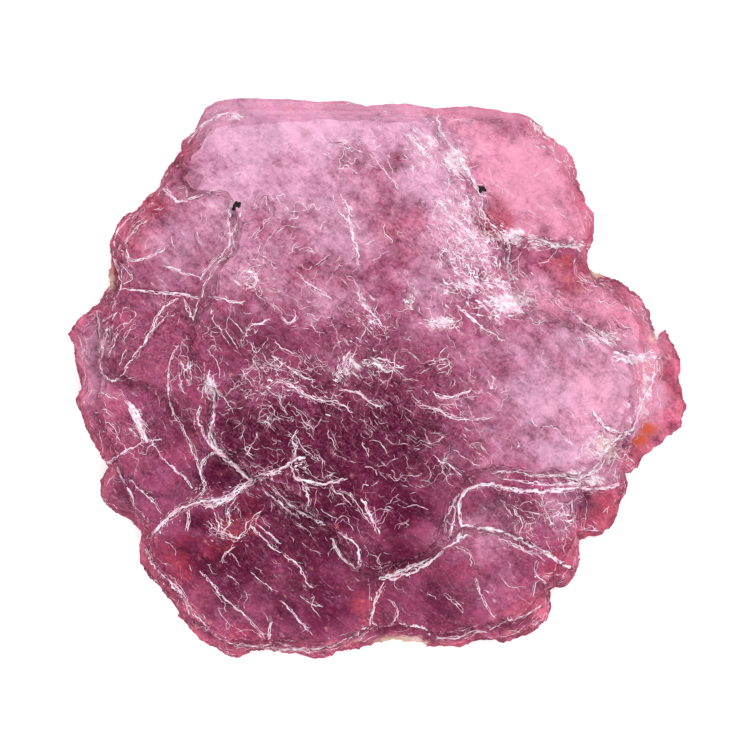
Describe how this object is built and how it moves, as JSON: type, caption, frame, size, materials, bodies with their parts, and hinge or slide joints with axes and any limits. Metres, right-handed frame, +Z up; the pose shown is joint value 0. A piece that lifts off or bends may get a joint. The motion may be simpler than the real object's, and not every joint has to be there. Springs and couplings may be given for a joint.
{
  "type": "lepidolite crystal book",
  "caption": "Raw lepidolite: a loose six-sided book of pink mica sheets with stepped cleavage faces and a frayed rim, lying flat as a display specimen.",
  "frame": {"origin": "middle of the book's outline, on the flat cleavage plane that it rests on", "axes": "+Z up through the sheets, +X along the longer way across towards the thin flap, +Y towards the straight far edge"},
  "size_m": [0.0616, 0.0558, 0.0084],
  "materials": {
    "mica": "pearly rose-purple mica with white cleavage cracks, translucent at the rim"
  },
  "bodies": {
    "root": {"mica_book": "mica"}
  },
  "joints": []
}
